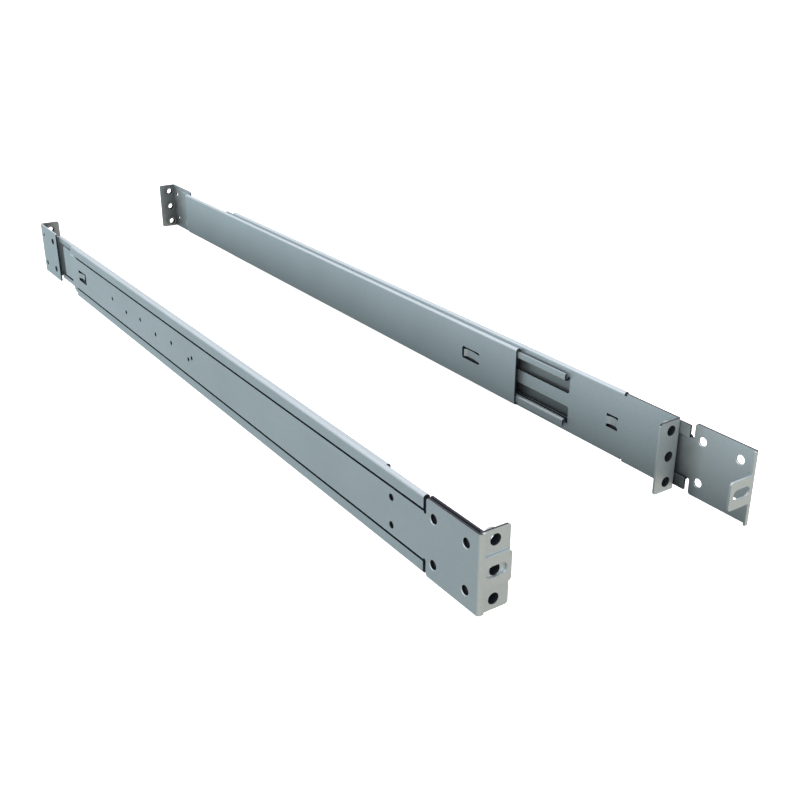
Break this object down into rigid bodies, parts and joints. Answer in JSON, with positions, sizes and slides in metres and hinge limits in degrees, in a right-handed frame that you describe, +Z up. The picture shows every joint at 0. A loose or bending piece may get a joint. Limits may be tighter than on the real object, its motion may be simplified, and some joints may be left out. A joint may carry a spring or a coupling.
{
  "type": "pair of telescoping rack slide rails",
  "caption": "Pair of flat sheet-steel slide rails with rack flanges front and back; each carries equipment on a sliding member and telescopes to suit the rack's depth.",
  "frame": {"origin": "below the middle of the pair, on the surface that it stands on", "axes": "+Y along the rails towards the rear of the rack, +X from the left rail to the right one, +Z up"},
  "size_m": [0.1704, 0.7602, 0.0436],
  "materials": {
    "channel_steel": "bright zinc plating on cold-rolled steel sheet",
    "member_steel": "bright zinc plating on cold-rolled steel sheet",
    "rear_steel": "bright zinc plating on cold-rolled steel sheet",
    "rivet_steel": "zinc-plated rivet",
    "nut_steel": "zinc-plated clinch nut"
  },
  "bodies": {
    "front_channels": {"front_channel_left": "channel_steel", "front_channel_right": "channel_steel", "front_rack_nuts_left": "nut_steel", "front_rack_nuts_right": "nut_steel"},
    "member_left": {"equipment_member_left": "member_steel"},
    "member_right": {"equipment_member_right": "member_steel"},
    "rear_left": {"rear_channel_left": "rear_steel", "rear_bracket_left": "rear_steel", "bracket_rivets_left": "rivet_steel", "rear_rack_nuts_left": "nut_steel"},
    "rear_right": {"rear_channel_right": "rear_steel", "rear_bracket_right": "rear_steel", "bracket_rivets_right": "rivet_steel", "rear_rack_nuts_right": "nut_steel"}
  },
  "joints": [
    {"name": "member_slide_left", "type": "slide", "parent": "front_channels", "child": "member_left", "axis": [0, -1, 0], "range_m": [0, 0.48]},
    {"name": "member_slide_right", "type": "slide", "parent": "front_channels", "child": "member_right", "axis": [0, -1, 0], "range_m": [-0.0492, 0.4308]},
    {"name": "rear_slide_left", "type": "slide", "parent": "front_channels", "child": "rear_left", "axis": [0, 1, 0], "range_m": [-0.0173, 0.2685]},
    {"name": "rear_slide_right", "type": "slide", "parent": "front_channels", "child": "rear_right", "axis": [0, 1, 0], "range_m": [-0.0703, 0.2155]}
  ]
}
